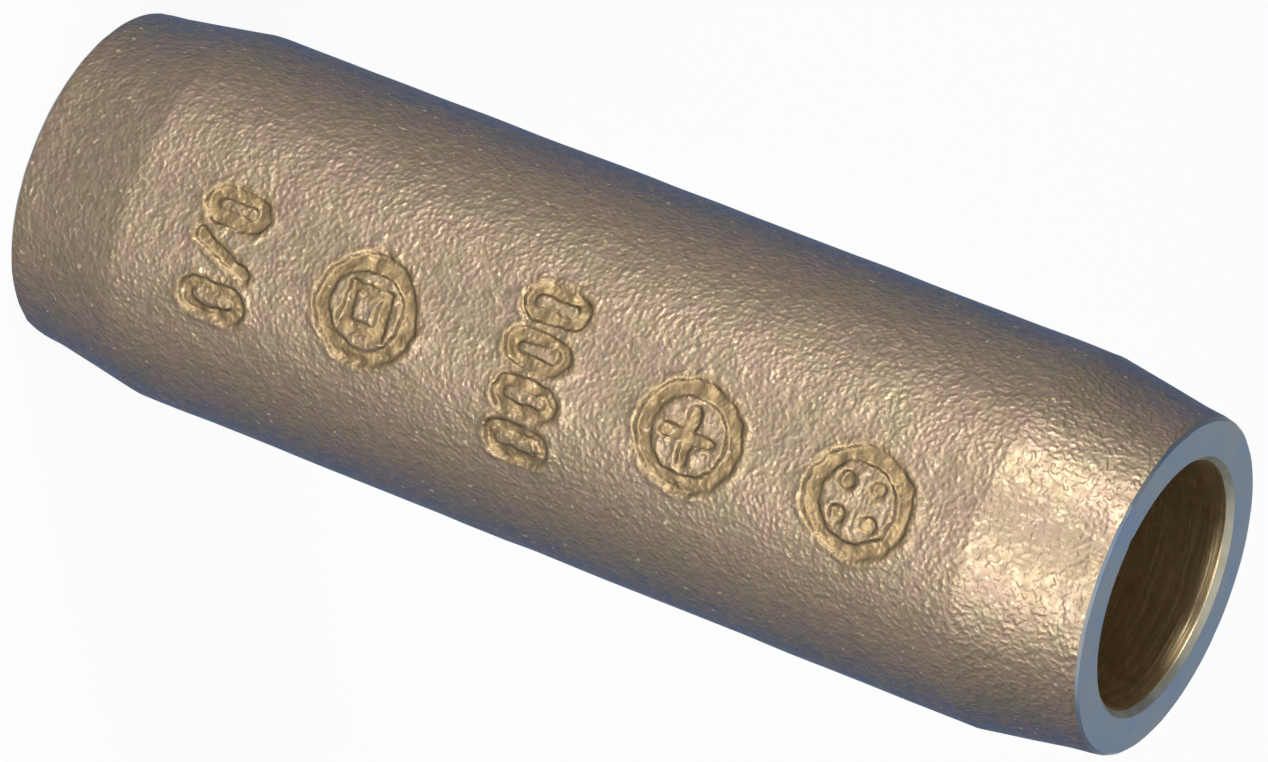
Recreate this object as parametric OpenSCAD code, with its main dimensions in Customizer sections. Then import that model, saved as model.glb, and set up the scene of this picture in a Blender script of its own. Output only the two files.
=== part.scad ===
// Ground rod compression connector: one cast bronze sleeve that joins two plain rods end to end.
// It stands on one machined end face, with the bore axis along +Z and the origin at the centre of that face.
// A rod is driven into each end. It slides into a straight entry, then jams in a slow taper.

/* [Cast outside] */
// Length of the sleeve from end face to end face
sleeve_length = 70; // [56:0.5:100]
// Outside diameter of the body between the two end tapers
body_d = 22.2; // [21:0.1:28]
// Outside diameter where a taper meets the machined end face
end_d = 19.7; // [17.5:0.1:21.5]
// Length of each end taper along the axis
taper_length = 7.4; // [4:0.1:12]
// Radius of the blend where a taper runs into the body
blend_r = 4; // [1:0.5:24]
// Edge break around each end face
edge_break = 0.15; // [0.05:0.05:0.5]

/* [Machined bore] */
// Diameter of the straight entry at each end, which guides the rod
entry_d = 14.6; // [12:0.1:16]
// Depth of the straight entry below the end face
entry_depth = 14; // [6:0.5:22]
// Diameter of the throat at mid length, where the two rod ends jam and meet
throat_d = 13.8; // [10:0.1:14.4]
// Length of the straight throat
throat_length = 5; // [1:0.5:10]
// Chamfer at each bore mouth
mouth_chamfer = 0.35; // [0.1:0.05:1]

/* [Hidden] */

bronze = [0.64, 0.50, 0.34];
round_steps = 128;

body_r = body_d / 2;
end_r = end_d / 2;
entry_r = entry_d / 2;
throat_r = throat_d / 2;

// How fast the taper widens, as radius over length
taper_slope = (body_r - end_r) / taper_length;
taper_angle = atan(taper_slope);
// Distance from the sharp taper corner to each end of its blend arc
blend_reach = blend_r * tan(taper_angle / 2);
// The arc is drawn larger by this much, so that it crosses the taper and the body and doesn't only graze them
arc_relief = 0.001;
// How far the bore's section runs past the end faces, so that the cut is clean
cut_past = 1;

// Sections are drawn in the plane of radius and height. A list of points for the lower end, from the
// axis or the face up to mid length, becomes a whole outline with its mirror image for the upper end.
function both_ends(lower) = concat(
    lower,
    [for (i = [len(lower) - 1:-1:0]) [lower[i][0], sleeve_length - lower[i][1]]]
);

// Outer section with a sharp corner between each taper and the body
module sharp_outline() {
    polygon(both_ends([
        [0, 0],
        [end_r - edge_break, 0],
        [end_r + edge_break * taper_slope, edge_break],
        [body_r, taper_length]
    ]));
}

// What the blend takes off the lower sharp corner: a sector about the arc's centre, outside the arc
module blend_waste() {
    sector_r = 2 * blend_r;
    translate([body_r - blend_r, taper_length + blend_reach])
        difference() {
            polygon([
                [0, 0],
                [sector_r * cos(taper_angle), -sector_r * sin(taper_angle)],
                [sector_r, 0]
            ]);
            circle(r = blend_r + arc_relief, $fn = round_steps);
        }
}

// The rods' way in from each end: chamfered mouth, straight entry, slow taper and throat
module bore_section() {
    polygon(both_ends([
        [-cut_past, -cut_past],
        [entry_r + mouth_chamfer + cut_past, -cut_past],
        [entry_r, mouth_chamfer],
        [entry_r, entry_depth],
        [throat_r, (sleeve_length - throat_length) / 2]
    ]));
}

module wall_section() {
    difference() {
        sharp_outline();
        blend_waste();
        translate([0, sleeve_length]) mirror([0, 1]) blend_waste();
        bore_section();
    }
}

// The casting: its wall section revolved about the bore axis
module connector_sleeve() {
    color(bronze)
        rotate_extrude($fn = round_steps) wall_section();
}

connector_sleeve();
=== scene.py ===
import math

import bpy
import numpy as np
from mathutils import Matrix, Vector


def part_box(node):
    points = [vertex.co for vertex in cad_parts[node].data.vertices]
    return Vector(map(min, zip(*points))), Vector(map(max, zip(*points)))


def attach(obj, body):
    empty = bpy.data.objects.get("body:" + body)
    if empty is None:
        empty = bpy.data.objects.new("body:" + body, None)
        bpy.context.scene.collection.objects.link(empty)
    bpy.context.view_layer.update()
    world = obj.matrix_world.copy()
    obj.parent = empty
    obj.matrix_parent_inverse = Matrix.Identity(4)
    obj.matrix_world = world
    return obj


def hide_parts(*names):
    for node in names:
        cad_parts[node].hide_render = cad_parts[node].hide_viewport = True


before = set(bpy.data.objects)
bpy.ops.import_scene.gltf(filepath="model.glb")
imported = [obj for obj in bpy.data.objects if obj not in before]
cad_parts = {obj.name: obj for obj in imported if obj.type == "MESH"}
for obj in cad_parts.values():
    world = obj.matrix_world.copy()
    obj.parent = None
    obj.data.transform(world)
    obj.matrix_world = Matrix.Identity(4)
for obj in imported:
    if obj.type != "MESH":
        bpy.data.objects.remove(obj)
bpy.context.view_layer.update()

mm = 0.001  # one millimetre in Blender's metres
low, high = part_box("connector_sleeve")
centre = (low + high) / 2
length = (high.z - low.z) / mm
bodyRadius = min(-low.x, high.x, -low.y, high.y) / mm

# Sizes in millimetres. The length and the body's radius come from the frame.
sleeve = {
    "endRadius": 9.85,  # where a taper meets the end face
    "taper": 7.4,  # length of an end taper
    "blend": 6.0,  # radius of the arc between taper and body
    "edgeBreak": 0.15,
    "mouthChamfer": 0.35,
    "entryRadius": 7.3,
    "entryDepth": 14.0,
    "throatRadius": 6.9,
    "throat": 5.0,  # length of the straight throat
    "crisp": 0.03,  # rows this close beside an edge keep it sharp
    "coarse": 0.7,  # grid step away from the marks
    "fine": 0.1,  # grid step in the marks
    "taperStep": 0.5,
    "faceStep": 0.3,
    "boreStep": 2.5,
    "edgeStep": 0.06,  # grid step across an edge break or a chamfer
    "bendReach": 0.6,  # finer rows reach this far beside the corner of taper and body
    "bendStep": 0.12,
    "wave": 0.05,  # slow unevenness of the cast skin
    "waveSize": 5.0,
    "waveShare": (0.5, 0.25),  # its mean, as a share, and what one spread of the noise adds
    "waveSeed": 11,
    "fade": (0.2, 2.0),  # distances from an end face where the skin begins to sink and where it has sunk
    "ridge": 0.018,  # faint ridge along the corner of taper and body
    "ridgeWidth": 0.2,
    "ridgeShare": (0.8, 0.4),  # mean and spread, as for the wave
    "ridgeMost": 1.5,
    "rimWander": 0.03,  # how far the cast skin makes a rim's outline wander
    "rimUneven": 0.5,
    "rimSize": 1.6,
    "rimSeed": 21,
    "rimReach": 0.35,  # how far a nick or the wander reaches from the edge
    "rimNicks": ((-146, 0.35, 0.14), (-120, 0.3, 0.08), (-93, 0.3, 0.08)),  # degrees, width and depth
    "mouthNicks": ((-102, 0.25, 0.14),),
}

# Recessed marks of the mould, in millimetres: two ovals with a slash, three rings and a row of ovals
marks = {
    "line": -80.5,  # degrees round the sleeve
    "reach": 5.9,  # half width of the strip that holds them
    "slashPair": 14.2,  # heights along the sleeve of the marks' centres
    "squareRing": 23.75,
    "ovals": 34.6,
    "plusRing": 44.8,
    "pipRing": 55.6,
    "depth": 0.17,
    "wall": 0.2,  # width of a recess's sloping side
    "half": 0.56,  # half width of a ring's band
    "strokeHalf": 0.46,  # half width of the other strokes
    "ring": 2.75,  # middle radius of a ring's band
    "tall": 3.4,  # height of an oval or a slash between the middles of its strokes
    "slashLean": 0.75,  # how far a slash's ends lie to the sides
    "ovalCount": 4,
    "ovalHalf": 0.75,  # half width of an oval
    "pitch": 2.75,  # from one oval to the next, or to the slash
    "squareHalf": 1.1,
    "plusHalf": 1.4,
    "pipAside": 1.0,  # how far a pip lies from the ring's centre, each way
    "lip": 0.075,  # height of the raised lip beside a stroke
    "lipWidth": 0.2,
    "lipUneven": 0.45,  # share of the lip's height that comes and goes
    "lipSize": 1.5,
    "lipSeed": 9,
    "spread": 0.5,  # how far the recess's colour spreads beside a stroke
    "clear": 0.4,  # fine grid beside a mark
    "wobble": 0.03,  # how far a hand-cut edge wanders
    "wobbleSize": 1.1,
    "wobbleSeed": 5,
    "sway": 0.045,  # slower wander of a whole stroke
    "swaySize": 3.5,
    "swaySeed": 8,
    "uneven": 0.18,  # share of the depth by which a recess's floor varies
    "unevenSize": 1.2,
    "unevenSeed": 6,
}

skinBand, faceBand, boreBand, chamferBand = range(4)  # the finishes, in the order of the material slots


def softNoise(points, size, seed, waves=48, wavelengths=(0.7, 1.5)):
    # Sum of sine waves of random heading and phase, whose wavelengths are the size times a random share
    # between the two given, scaled to a spread of one
    rng = np.random.default_rng(seed)
    heading = rng.normal(size=(waves, points.shape[-1]))
    heading /= np.linalg.norm(heading, axis=1, keepdims=True)
    pace = 2 * np.pi / (size * rng.uniform(*wavelengths, waves))
    phase = rng.uniform(0, 2 * np.pi, waves)
    total = np.zeros(points.shape[:-1])
    for k in range(waves):
        total += np.sin(points @ (heading[k] * pace[k]) + phase[k])
    return total * math.sqrt(2 / waves)


def smoothStep(start, end, x):
    # Cubic ramp from 0 at the start to 1 at the end
    t = np.clip((x - start) / (end - start), 0, 1)
    return t * t * (3 - 2 * t)


def stations(stops, steps):
    # Runs of even spacing: each goes from one stop to the next in about its own step
    runs = [np.linspace(a, b, max(1, round((b - a) / step)), endpoint=False)
            for a, b, step in zip(stops[:-1], stops[1:], steps)]
    return np.concatenate(runs)


def outerRadius(z):
    # Distance d to the nearer end gives the edge break, the taper's line and the body; near the corner
    # of taper and body the radius follows a circle of the blend's size that touches both
    s = sleeve
    slope = (bodyRadius - s["endRadius"]) / s["taper"]
    angle = math.atan(slope)
    d = np.minimum(z, length - z)
    r = np.interp(d, [0, s["edgeBreak"], s["taper"]],
                  [s["endRadius"] - s["edgeBreak"], s["endRadius"] + slope * s["edgeBreak"], bodyRadius])
    arcTop = s["taper"] + s["blend"] * math.tan(angle / 2)  # where the arc meets the body
    onArc = (d < arcTop) & (d > arcTop - s["blend"] * math.sin(angle))
    arc = bodyRadius - s["blend"] + np.sqrt(np.maximum(s["blend"] ** 2 - (d - arcTop) ** 2, 0))
    return np.where(onArc, arc, r)


def boreRadius(z):
    # Straight lines between the mouth, the entry's two ends and the throat
    s = sleeve
    d = np.minimum(z, length - z)
    entry = s["entryRadius"]
    return np.interp(d, [0, s["mouthChamfer"], s["entryDepth"], (length - s["throat"]) / 2],
                     [entry + s["mouthChamfer"], entry, entry, s["throatRadius"]])


# Each outline below is a distance to the middle of a stroke, in the plane of the mark: x runs round the
# sleeve and y to the top of the mark
def barLine(x, y, ax, ay, bx, by):
    # Distance to the nearest point of a straight segment
    along = (x - ax) * (bx - ax) + (y - ay) * (by - ay)
    t = np.clip(along / ((bx - ax) ** 2 + (by - ay) ** 2), 0, 1)
    return np.hypot(x - ax - t * (bx - ax), y - ay - t * (by - ay))


def ringLine(x, y, radius):
    # Difference between the distance to the centre and the radius
    return np.abs(np.hypot(x, y) - radius)


def ovalLine(x, y, half, tall):
    # Upright capsule: difference between the distance to its middle line and its half width
    rise = tall / 2 - half
    return np.abs(barLine(x, y, 0, -rise, 0, rise) - half)


def markLine(x, z):
    # The nearest stroke of all marks; those thinner than a ring's band count as further away by the
    # difference. A mark's own y points to the low end of the sleeve.
    m = marks
    bands = [ringLine(x, m[name] - z, m["ring"]) for name in ("squareRing", "plusRing", "pipRing")]
    y = m["pipRing"] - z
    bands.append(np.hypot(np.abs(x) - m["pipAside"], np.abs(y) - m["pipAside"]))
    y = m["slashPair"] - z
    top, lean = m["tall"] / 2, m["slashLean"]
    strokes = [ovalLine(np.abs(x) - m["pitch"], y, m["ovalHalf"], m["tall"])]
    strokes.append(barLine(x, y, -lean, -top, lean, top))
    y = m["ovals"] - z
    for place in np.arange(m["ovalCount"]) - (m["ovalCount"] - 1) / 2:
        strokes.append(ovalLine(x - place * m["pitch"], y, m["ovalHalf"], m["tall"]))
    y = m["squareRing"] - z
    strokes.append(np.abs(np.maximum(np.abs(x), np.abs(y)) - m["squareHalf"]))
    y, arm = m["plusRing"] - z, m["plusHalf"]
    strokes.append(np.minimum(barLine(x, y, -arm, 0, arm, 0), barLine(x, y, 0, -arm, 0, arm)))
    thin = np.min(strokes, axis=0) + m["half"] - m["strokeHalf"]
    return np.minimum(np.min(bands, axis=0), thin)


def sleeveColumns():
    # Angles round the sleeve, close together in the strip of marks
    line = math.radians(marks["line"])
    half = marks["reach"] / bodyRadius
    return stations([line - half, line + half, line - half + 2 * np.pi],
                    [sleeve["fine"] / bodyRadius, sleeve["coarse"] / bodyRadius])


def sleeveRows():
    # The closed section, from the lower mouth out over the lower face, up the skin, in over the upper face
    # and down the bore: radius and height of each row, and the finish of the faces that begin there
    s, m = sleeve, marks
    crisp, edge, chamfer = s["crisp"], s["edgeBreak"], s["mouthChamfer"]
    mouth, rim = s["entryRadius"] + chamfer, s["endRadius"] - edge
    outward = stations([mouth, mouth + crisp, rim - crisp, rim], [crisp, s["faceStep"], crisp])
    inward = mouth + rim - outward

    bendLow, bendHigh = s["taper"] - s["bendReach"], s["taper"] + s["bendReach"]
    lowStops = [0, crisp, edge - crisp, edge, edge + crisp, bendLow, bendHigh]
    lowSteps = [crisp, s["edgeStep"], crisp, crisp, s["taperStep"], s["bendStep"]]
    stops, steps = list(lowStops), list(lowSteps)
    figure, circle = m["tall"] / 2 + m["half"] + m["clear"], m["ring"] + m["half"] + m["clear"]
    spans = [("slashPair", figure), ("squareRing", circle), ("ovals", figure), ("plusRing", circle),
             ("pipRing", circle)]
    for name, reach in spans:
        stops += [m[name] - reach, m[name] + reach]
        steps += [s["coarse"], s["fine"]]
    stops += [length - stop for stop in lowStops[::-1]]
    steps += [s["coarse"]] + lowSteps[::-1]
    skinZ = stations(stops, steps)

    throatLow = (length - s["throat"]) / 2
    stops = [0, crisp, chamfer - crisp, chamfer, chamfer + crisp, s["entryDepth"], throatLow]
    steps = [crisp, s["edgeStep"], crisp, crisp, s["boreStep"], s["boreStep"]]
    upper = [length - stop for stop in stops[::-1]]
    boreZ = length - stations(stops + upper, steps + [s["boreStep"]] + steps[::-1])

    r = np.concatenate([outward, outerRadius(skinZ), inward, boreRadius(boreZ)])
    z = np.concatenate([outward * 0, skinZ, outward * 0 + length, boreZ])
    band = np.repeat([faceBand, skinBand, faceBand, boreBand],
                     [len(outward), len(skinZ), len(inward), len(boreZ)])
    end = np.minimum(z, length - z)
    deep = (end + np.roll(end, -1)) / 2  # how far the middle of each strip of faces lies from its end
    band[(band == skinBand) & (deep < edge)] = faceBand  # the edge breaks are cut with the faces
    band[(band == boreBand) & (deep < chamfer)] = chamferBand
    return r, z, band


def skinDrop(a, z, wave, onSkin):
    # How far the skin sinks below its true radius: the marks' depth, the lip's height where there is no lip,
    # and a slow wave, less the ridge, all fading out at the rims. Also the share of each point that is sunk,
    # and the share that takes the recess's colour.
    s, m = sleeve, marks
    end = np.minimum(z, length - z)
    x = (math.radians(m["line"]) - a + np.pi) % (2 * np.pi) - np.pi
    x *= bodyRadius
    sheet = np.stack([x, z], axis=-1)
    edge = markLine(x, z) + m["wobble"] * softNoise(sheet, m["wobbleSize"], m["wobbleSeed"])
    edge += m["sway"] * softNoise(sheet, m["swaySize"], m["swaySeed"])
    inStrip = onSkin & (np.abs(x) < m["reach"])
    sunk = np.where(inStrip, 1 - smoothStep(m["half"] - m["wall"], m["half"], edge), 0)
    stained = np.where(inStrip, 1 - smoothStep(m["half"], m["half"] + m["spread"], edge), 0)

    lip = np.exp(-((edge - m["half"] - m["lipWidth"]) / m["lipWidth"]) ** 2) * (1 - sunk)
    patchy = 1 - m["lipUneven"] + m["lipUneven"] * softNoise(sheet, m["lipSize"], m["lipSeed"])
    lip = np.where(inStrip, lip * m["lip"] * np.clip(patchy, 0, 1), 0)
    drop = sunk * m["depth"] * (1 + m["uneven"] * softNoise(sheet, m["unevenSize"], m["unevenSeed"]))
    drop = drop + m["lip"] - lip

    fade = smoothStep(*s["fade"], end)
    mean, spread = s["waveShare"]
    drop = drop + fade * s["wave"] * np.clip(mean + spread * wave, 0, 1)
    mean, spread = s["ridgeShare"]
    corner = (end - s["taper"]) / s["ridgeWidth"]
    drop -= s["ridge"] * np.exp(-corner ** 2) * np.clip(mean + spread * wave, 0, s["ridgeMost"])
    return drop * fade, sunk, stained


def nickShape(a, nicks, radius):
    # Sum of bell curves round the edge, each at its own angle
    total = np.zeros_like(a)
    for degrees, width, depth in nicks:
        arc = (a - math.radians(degrees) + np.pi) % (2 * np.pi) - np.pi
        total += depth * np.exp(-(arc * radius / width) ** 2)
    return total


def rimWear(a, r, z, ring):
    # How far a point moves out: the rims move in by a slow wander and by their nicks, and the upper mouth
    # moves out by its own; both die away as a bell curve of the distance from the edge
    s = sleeve
    end = np.minimum(z, length - z)
    wander = s["rimWander"] * (1 + s["rimUneven"] * softNoise(ring, s["rimSize"], s["rimSeed"]))
    upper = z > length / 2
    rim = np.exp(-(np.hypot(end, r - s["endRadius"]) / s["rimReach"]) ** 2)
    mouth = np.exp(-(np.hypot(end, r - s["entryRadius"] - s["mouthChamfer"]) / s["rimReach"]) ** 2)
    inward = np.maximum(wander, 0) + np.where(upper, nickShape(a, s["rimNicks"], s["endRadius"]), 0)
    outward = np.where(upper, nickShape(a, s["mouthNicks"], s["entryRadius"]), 0)
    return mouth * outward - rim * inward


def ringMesh(name, points, band):
    # Quads between neighbours on a grid that closes both ways, round the axis and round the section
    rows, columns = points.shape[:2]
    here = np.arange(rows * columns).reshape(rows, columns)
    right = np.roll(here, -1, axis=1)
    above = np.roll(here, -1, axis=0)
    across = np.roll(right, -1, axis=0)
    quads = np.stack([here, right, across, above], axis=-1).reshape(-1, 4)
    mesh = bpy.data.meshes.new(name)
    mesh.vertices.add(rows * columns)
    mesh.vertices.foreach_set("co", points.astype(np.float32).ravel())
    mesh.loops.add(quads.size)
    mesh.loops.foreach_set("vertex_index", quads.astype(np.int32).ravel())
    mesh.polygons.add(len(quads))
    mesh.polygons.foreach_set("loop_start", np.arange(0, quads.size, 4, dtype=np.int32))
    mesh.polygons.foreach_set("material_index", np.repeat(band, columns).astype(np.int32))
    mesh.update(calc_edges=True)
    mesh.shade_smooth()
    return mesh


def buildSleeve():
    # Section carried round the axis: x = r cos, y = r sin. The skin only sinks and the rims only move in, so
    # the sleeve stays within its true sizes.
    angle = sleeveColumns()
    r, z, band = sleeveRows()
    a, r = np.meshgrid(angle, r)
    z = np.repeat(z[:, None], len(angle), axis=1)
    onSkin = np.repeat((band == skinBand)[:, None], len(angle), axis=1)
    ring = np.stack([r * np.cos(a), r * np.sin(a), z], axis=-1)
    wave = softNoise(ring, sleeve["waveSize"], sleeve["waveSeed"])
    drop, sunk, stained = skinDrop(a, z, wave, onSkin)
    r = np.where(onSkin, r - drop, r)
    r = r + rimWear(a, r, z, ring)
    points = np.stack([r * np.cos(a), r * np.sin(a), z], axis=-1) * mm

    mesh = ringMesh("cast_sleeve", points, band)
    for label, share in (("mark", sunk), ("stain", stained)):
        layer = mesh.attributes.new(label, "FLOAT", "POINT")
        layer.data.foreach_set("value", share.astype(np.float32).ravel())
    mesh.validate()
    piece = bpy.data.objects.new("cast_sleeve", mesh)
    bpy.context.scene.collection.objects.link(piece)
    rows, columns = r.shape
    print("sleeve:", rows, "rows,", columns, "columns,", 2 * len(mesh.polygons), "triangles")
    return piece


def addNode(tree, kind, **settings):
    # New node with its properties set; the name of an input sets that input's value
    node = tree.nodes.new(kind)
    for name, value in settings.items():
        if hasattr(node, name):
            setattr(node, name, value)
        else:
            node.inputs[name].default_value = value
    return node


def newMaterial(name):
    # Empty material with one Principled shader
    material = bpy.data.materials.new(name)
    material.use_nodes = True
    tree = material.node_tree
    tree.nodes.clear()
    out = tree.nodes.new("ShaderNodeOutputMaterial")
    shader = tree.nodes.new("ShaderNodeBsdfPrincipled")
    tree.links.new(shader.outputs["BSDF"], out.inputs["Surface"])
    return material, tree, shader


def objectPlace(tree, scale):
    # Object coordinates in other units, with a scale for each axis
    source = tree.nodes.new("ShaderNodeTexCoord")
    node = addNode(tree, "ShaderNodeMapping", Scale=scale)
    tree.links.new(source.outputs["Object"], node.inputs["Vector"])
    return node.outputs["Vector"]


def noiseOf(tree, vector, size, **settings):
    # Noise whose grains are about the given size
    node = addNode(tree, "ShaderNodeTexNoise", Scale=1 / size, **settings)
    tree.links.new(vector, node.inputs["Vector"])
    return node.outputs["Fac"]


def ranged(tree, value, source, target, soft=False):
    # Ramp from one range to another, held at its ends, straight or soft
    kind = "SMOOTHSTEP" if soft else "LINEAR"
    node = addNode(tree, "ShaderNodeMapRange", interpolation_type=kind)
    for name, number in zip(("From Min", "From Max", "To Min", "To Max"), (*source, *target)):
        node.inputs[name].default_value = number
    tree.links.new(value, node.inputs["Value"])
    return node.outputs["Result"]


def mathOf(tree, kind, first, second=0.0):
    # One Math node; either side is a socket or a number
    node = addNode(tree, "ShaderNodeMath", operation=kind)
    for side, value in zip(node.inputs, (first, second)):
        if isinstance(value, (int, float)):
            side.default_value = value
        else:
            tree.links.new(value, side)
    return node.outputs["Value"]


def blended(tree, factor, first, second):
    # Two colours mixed; either is a socket or four numbers. A Mix node's colours are its sockets 6 and 7,
    # and the mixed one is its output 2.
    node = addNode(tree, "ShaderNodeMix", data_type="RGBA")
    tree.links.new(factor, node.inputs[0])
    for side, value in zip((node.inputs[6], node.inputs[7]), (first, second)):
        if isinstance(value, tuple):
            side.default_value = value
        else:
            tree.links.new(value, side)
    return node.outputs[2]


def bumped(tree, shader, height, unit=1.0):
    # The height, in units of so many millimetres, becomes the shader's normal
    node = addNode(tree, "ShaderNodeBump", Strength=1.0, Distance=unit * mm)
    tree.links.new(height, node.inputs["Height"])
    tree.links.new(node.outputs["Normal"], shader.inputs["Normal"])


# In this and the next three, sizes and heights are in millimetres, and a rise or a range gives the two
# values of the noise between which its effect grows
castSkin = {
    "bronze": (0.203, 0.161, 0.115, 1),
    "pink": (0.208, 0.155, 0.122, 1),
    "olive": (0.187, 0.158, 0.112, 1),
    "brown": (0.13, 0.084, 0.046, 1),  # oxide, with painted shade, left in the hollows
    "recess": (0.178, 0.13, 0.074, 1),
    "paleGlint": (0.36, 0.3, 0.21, 1),  # painted glints: a few pale specks
    "grazingBlueReflection": (0.07, 0.33, 0.74, 1),  # painted reflection: a blue that the metal's colour turns to at a grazing angle
    "blotch": 2.6,  # size of the patches of colour
    "pinkRise": (0.38, 0.62),
    "oliveRise": (0.52, 0.68),
    "oliveShare": 0.7,
    "stainShare": 0.75,  # how far the skin beside a mark takes the recess's colour
    # Painted shade with the oxide: the skin turns brown where the wrinkles lie low
    "shadedHollowRange": (0.35, 0.65),
    "hollowShadeShare": 0.22,
    "glintFleck": 0.36,  # size of the painted glints
    "glintFleckRise": (0.78, 0.83),
    "mottle": 0.7,  # size of the patches of polish
    "mottleRange": (0.35, 0.65),
    "roughness": (0.45, 0.55),
    "recessRoughness": 0.52,
    "grain": 0.28,  # size of the sand grain
    "grainRise": (0.34, 0.8),
    "grainHeight": 0.024,
    "wrinkle": 0.46,  # size of the wrinkles under the grain
    "wrinkleHeight": 0.05,
    "swell": 1.2,  # size of the slow unevenness under the grain
    "swellHeight": 0.065,
    "recessGrain": 0.8,  # share of the grain that is left in the marks
}


def castMaterial():
    # Colour: bronze with pink and olive patches, then the recess's colour in and beside the marks, brown
    # oxide and painted shade in the wrinkles' hollows, and a few pale specks painted as glints. Height: the
    # sum of grains, wrinkles and swell.
    c = castSkin
    material, tree, shader = newMaterial("cast_bronze_skin")
    link = tree.links.new
    shader.inputs["Metallic"].default_value = 1.0
    # Painted reflection: the blue edge tint stands in for a blue surrounding seen at grazing angles
    shader.inputs["Specular Tint"].default_value = c["grazingBlueReflection"]
    inMm = objectPlace(tree, (1 / mm,) * 3)
    apart = objectPlace(tree, (-1 / mm,) * 3)  # another part of the noise
    mark = addNode(tree, "ShaderNodeAttribute", attribute_name="mark").outputs["Fac"]
    stain = addNode(tree, "ShaderNodeAttribute", attribute_name="stain").outputs["Fac"]
    wrinkle = noiseOf(tree, apart, c["wrinkle"], Detail=1.0)

    pink = ranged(tree, noiseOf(tree, inMm, c["blotch"], Detail=2.0), c["pinkRise"], (0, 1))
    tone = blended(tree, pink, c["bronze"], c["pink"])
    olive = ranged(tree, noiseOf(tree, apart, c["blotch"], Detail=2.0), c["oliveRise"], (0, c["oliveShare"]))
    tone = blended(tree, olive, tone, c["olive"])
    stained = mathOf(tree, "MAXIMUM", mark, mathOf(tree, "MULTIPLY", stain, c["stainShare"]))
    tone = blended(tree, stained, tone, c["recess"])
    # Painted shade with the oxide: brown in the wrinkles' low places
    shadedHollow = ranged(tree, wrinkle, c["shadedHollowRange"], (c["hollowShadeShare"], 0))
    tone = blended(tree, shadedHollow, tone, c["brown"])
    # Painted glints: a few pale specks lighten the base colour
    paintedGlints = ranged(tree, noiseOf(tree, inMm, c["glintFleck"], Detail=0.0), c["glintFleckRise"], (0, 1))
    link(blended(tree, paintedGlints, tone, c["paleGlint"]), shader.inputs["Base Color"])

    rough = ranged(tree, noiseOf(tree, apart, c["mottle"], Detail=1.0), c["mottleRange"], c["roughness"])
    rougher = c["recessRoughness"] - sum(c["roughness"]) / 2  # what a recess adds to the mean
    rough = mathOf(tree, "ADD", rough, ranged(tree, mark, (0, 1), (0, rougher)))
    link(rough, shader.inputs["Roughness"])

    grain = noiseOf(tree, inMm, c["grain"], Detail=0.0)
    grain = ranged(tree, grain, c["grainRise"], (0, c["grainHeight"]), soft=True)
    swell = noiseOf(tree, inMm, c["swell"], Detail=1.0)
    height = mathOf(tree, "ADD", grain, mathOf(tree, "MULTIPLY", wrinkle, c["wrinkleHeight"]))
    height = mathOf(tree, "ADD", height, mathOf(tree, "MULTIPLY", swell, c["swellHeight"]))
    height = mathOf(tree, "MULTIPLY", height, ranged(tree, mark, (0, 1), (1, c["recessGrain"])))
    bumped(tree, shader, height)
    return material


machinedFace = {
    # Painted reflection: the face's blue grey colours stand in for a blue surrounding that it reflects
    "dark": (0.185, 0.245, 0.335, 1),
    "pale": (0.3, 0.315, 0.315, 1),
    "cloud": 4.0,  # size of the patches of tone
    "paleRise": (0.35, 0.65),
    "polishRange": (0.3, 0.7),
    "roughness": (0.3, 0.42),
    "ring": 0.12,  # spacing of the tool's rings
    "ringHeight": 0.006,
}

cutChamfer = {
    # Painted reflection: the chamfer's pale grey colours stand in for the light it reflects
    "dark": (0.31, 0.29, 0.22, 1),
    "pale": (0.4, 0.385, 0.32, 1),
    "cloud": 1.5,
    "paleRise": (0.35, 0.65),
    "polishRange": (0.3, 0.7),
    "roughness": (0.4, 0.5),
    "ring": 0.1,
    "ringHeight": 0.006,
}


def turnedMaterial(name, c):
    # Rings of the tool, as noise along the radius, and slow patches of tone and polish; the given colours
    # are painted reflections
    material, tree, shader = newMaterial(name)
    link = tree.links.new
    shader.inputs["Metallic"].default_value = 1.0
    flat = objectPlace(tree, (1 / mm, 1 / mm, 0))
    radius = addNode(tree, "ShaderNodeVectorMath", operation="LENGTH")
    link(flat, radius.inputs[0])
    rings = addNode(tree, "ShaderNodeTexNoise", noise_dimensions="1D", Scale=1 / c["ring"], Detail=1.0)
    link(radius.outputs["Value"], rings.inputs["W"])
    cloud = noiseOf(tree, flat, c["cloud"], Detail=3.0)
    tone = blended(tree, ranged(tree, cloud, c["paleRise"], (0, 1)), c["dark"], c["pale"])
    link(tone, shader.inputs["Base Color"])
    link(ranged(tree, cloud, c["polishRange"], c["roughness"]), shader.inputs["Roughness"])
    bumped(tree, shader, rings.outputs["Fac"], c["ringHeight"])
    return material


boredWall = {
    "gold": (0.96, 0.8, 0.52, 1),
    "brown": (0.56, 0.43, 0.26, 1),
    "stain": 1.3,  # size of the patches of tone
    "brownRise": (0.4, 0.6),
    "streak": 0.6,  # how far the grooves darken the tone
    "streakRise": (0.42, 0.58),
    "polishRange": (0.3, 0.7),
    "roughness": (0.3, 0.42),
    "groove": 0.24,  # spacing of the boring tool's grooves
    "grooveTurn": 0.05,  # how fast the grooves change round the bore, as a share of how fast along it
    "grooveHeight": 0.03,
    "grooveReach": (0.8, 6.0),  # distances from the end face of the last full grooves and the faded ones
    "grooveLeft": 0.25,  # share of the grooves that is left deeper in
}


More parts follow.
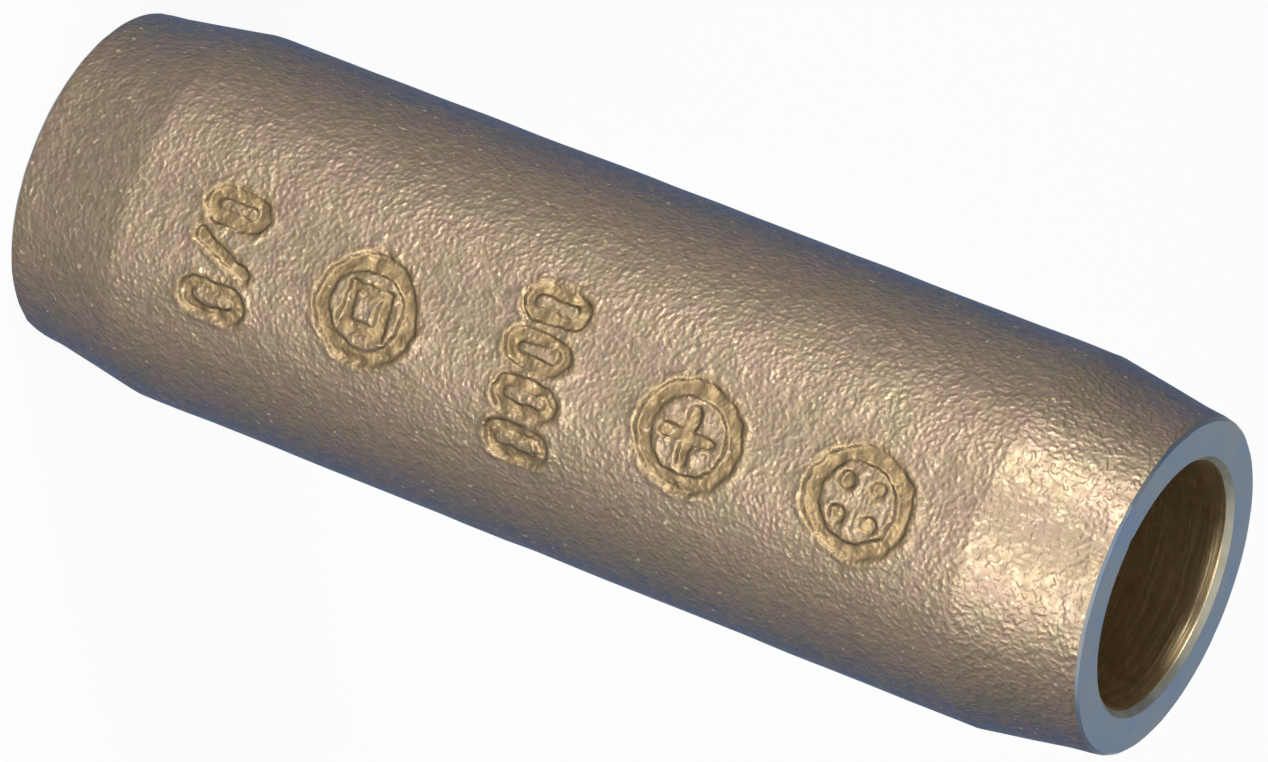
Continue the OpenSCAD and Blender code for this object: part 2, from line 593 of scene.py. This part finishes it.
def boreMaterial():
    # Grooves of the tool, as noise drawn out round the bore, fade with the distance from the nearer end and
    # darken the tone in streaks; patches of brown and of polish lie over all
    c = boredWall
    material, tree, shader = newMaterial("bored_wall")
    link = tree.links.new
    shader.inputs["Metallic"].default_value = 1.0
    inMm = objectPlace(tree, (1 / mm,) * 3)
    turned = objectPlace(tree, (c["grooveTurn"] / mm, c["grooveTurn"] / mm, 1 / mm))
    grooves = noiseOf(tree, turned, c["groove"], Detail=1.0)
    stain = noiseOf(tree, inMm, c["stain"], Detail=4.0)
    tone = blended(tree, ranged(tree, stain, c["brownRise"], (0, 1)), c["gold"], c["brown"])
    streaks = ranged(tree, grooves, c["streakRise"], (0, c["streak"]))
    link(blended(tree, streaks, tone, c["brown"]), shader.inputs["Base Color"])
    link(ranged(tree, stain, c["polishRange"], c["roughness"]), shader.inputs["Roughness"])

    place = addNode(tree, "ShaderNodeSeparateXYZ")
    link(inMm, place.inputs[0])
    fromMiddle = mathOf(tree, "SUBTRACT", place.outputs["Z"], centre.z / mm)
    fromEnd = mathOf(tree, "SUBTRACT", length / 2, mathOf(tree, "ABSOLUTE", fromMiddle))
    share = ranged(tree, fromEnd, c["grooveReach"], (1, c["grooveLeft"]))
    bumped(tree, shader, mathOf(tree, "MULTIPLY", grooves, share), c["grooveHeight"])
    return material


view = {
    "photo": (1268, 762),
    "centre": (623.4, 376.2),  # pixel of the sleeve's middle
    "elevation": 24.18,  # degrees
    "roll": 111.28,
    "distance": 571.4,  # mm
    "lens": 288.9,
    "sensor": 36.0,
    "clip": (0.01, 20),  # nearest and furthest that the camera sees, metres
}


def addCamera():
    # Looks along +Y, tipped down by the elevation, then turned about its own line of sight by the roll, and
    # moved sideways so that the sleeve's middle falls on its pixel
    v = view
    e, roll = math.radians(v["elevation"]), math.radians(v["roll"])
    forward = Vector((0, math.cos(e), -math.sin(e)))
    level, tipped = Vector((1, 0, 0)), Vector((0, math.sin(e), math.cos(e)))
    right = level * math.cos(roll) + tipped * math.sin(roll)
    up = tipped * math.cos(roll) - level * math.sin(roll)
    perPixel = v["distance"] * v["sensor"] / (v["lens"] * v["photo"][0]) * mm
    aside = (v["centre"][0] - v["photo"][0] / 2) * perPixel
    down = (v["centre"][1] - v["photo"][1] / 2) * perPixel
    spot = centre - right * aside + up * down - forward * v["distance"] * mm
    data = bpy.data.cameras.new("camera")
    data.lens, data.sensor_width, data.sensor_fit = v["lens"], v["sensor"], "HORIZONTAL"
    data.clip_start, data.clip_end = v["clip"]
    camera = bpy.data.objects.new("camera", data)
    turn = Matrix((right, up, -forward)).transposed()
    camera.matrix_world = Matrix.Translation(spot) @ turn.to_4x4()
    bpy.context.scene.collection.objects.link(camera)
    bpy.context.scene.camera = camera


# Oval soft lamps aimed at the sleeve's middle. Azimuth is counted from the camera's side, -Y, towards +X;
# wide and tall are half angles, and glow is the brightness of the lamp's own face, with 1 as white.
lamps = {
    "keyLamp": {
        "azimuth": -35.1, "elevation": 4.0, "wide": 7, "tall": 4, "glow": 141, "colour": (1, 0.97, 0.87),
    },
    "sideLamp": {
        "azimuth": 27, "elevation": 3.5, "wide": 22, "tall": 4, "glow": 49, "colour": (1, 0.97, 0.87),
    },
    "backLamp": {
        "azimuth": 180, "elevation": 26, "wide": 22, "tall": 22, "glow": 0.4, "colour": (0.85, 0.93, 1),
    },
    "topLamp": {
        "azimuth": 40, "elevation": 64, "wide": 48, "tall": 40, "glow": 1.0, "colour": (1, 0.97, 0.9),
    },
}
lampDistance = 0.9  # metres


def addLamp(name, azimuth, elevation, wide, tall, glow, colour):
    # An oval of the wanted half angles at the lamps' distance; its power is glow times pi times its area
    a, e = math.radians(azimuth), math.radians(elevation)
    back = Vector((math.sin(a) * math.cos(e), -math.cos(a) * math.cos(e), math.sin(e)))
    across, upright = (lampDistance * math.tan(math.radians(half)) for half in (wide, tall))
    data = bpy.data.lights.new(name, "AREA")
    data.shape, data.size, data.size_y, data.color = "ELLIPSE", 2 * across, 2 * upright, colour
    data.energy = glow * math.pi * math.pi * across * upright
    lamp = bpy.data.objects.new(name, data)
    lamp.location = centre + back * lampDistance
    lamp.rotation_mode = "QUATERNION"
    lamp.rotation_quaternion = (-back).to_track_quat("-Z", "Y")
    lamp.visible_camera = False
    bpy.context.scene.collection.objects.link(lamp)


paleFloor = {
    "size": 20.0,  # metres
    "drop": 0.05,  # below the sleeve's lower face, mm
    "white": (0.9, 0.9, 0.9, 1),
    "glow": 1.0,
    "share": 0.9,  # of the glow in what the camera and the metal see; the rest is lit and shadowed
}


def addFloor():
    # One square. Seen by the camera or in a reflection it is mostly an even white, and its lit part keeps
    # the shadow.
    c = paleFloor
    half, z = c["size"] / 2, -c["drop"] * mm
    corners = [(-half, -half, z), (half, -half, z), (half, half, z), (-half, half, z)]
    mesh = bpy.data.meshes.new("floor")
    mesh.from_pydata(corners, [], [(0, 1, 2, 3)])
    floor = bpy.data.objects.new("floor", mesh)
    bpy.context.scene.collection.objects.link(floor)
    material, tree, shader = newMaterial("pale_floor")
    material.cycles.emission_sampling = "NONE"  # the glow is only seen and lights nothing as a lamp
    shader.inputs["Base Color"].default_value = c["white"]
    shader.inputs["Roughness"].default_value = 1.0
    shader.inputs["Specular IOR Level"].default_value = 0.0
    path = tree.nodes.new("ShaderNodeLightPath").outputs
    seen = mathOf(tree, "MAXIMUM", path["Is Camera Ray"], path["Is Glossy Ray"])
    seen = mathOf(tree, "MAXIMUM", seen, path["Is Transmission Ray"])
    glow = addNode(tree, "ShaderNodeEmission", Color=(1, 1, 1, 1), Strength=c["glow"])
    both = tree.nodes.new("ShaderNodeMixShader")
    tree.links.new(mathOf(tree, "MULTIPLY", seen, c["share"]), both.inputs[0])
    tree.links.new(shader.outputs["BSDF"], both.inputs[1])
    tree.links.new(glow.outputs["Emission"], both.inputs[2])
    tree.links.new(both.outputs["Shader"], tree.nodes["Material Output"].inputs["Surface"])
    mesh.materials.append(material)


paleSky = {
    "colour": (0.7, 0.82, 1.0, 1),
    "strength": 0.35,
}


def addWorld():
    # The same pale blue light from every side
    world = bpy.data.worlds.new("studio")
    world.use_nodes = True
    back = world.node_tree.nodes["Background"]
    back.inputs["Color"].default_value = paleSky["colour"]
    back.inputs["Strength"].default_value = paleSky["strength"]
    bpy.context.scene.world = world


scene = bpy.context.scene
scene.view_settings.view_transform = "Standard"

addCamera()
addFloor()
addWorld()
for name, settings in lamps.items():
    addLamp(name, **settings)
print("stage: camera, floor and lamps")

body = buildSleeve()
body.data.materials.append(castMaterial())
body.data.materials.append(turnedMaterial("machined_face", machinedFace))
body.data.materials.append(boreMaterial())
body.data.materials.append(turnedMaterial("cut_chamfer", cutChamfer))
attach(body, "root")
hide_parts("connector_sleeve")
print("sleeve: dressed")
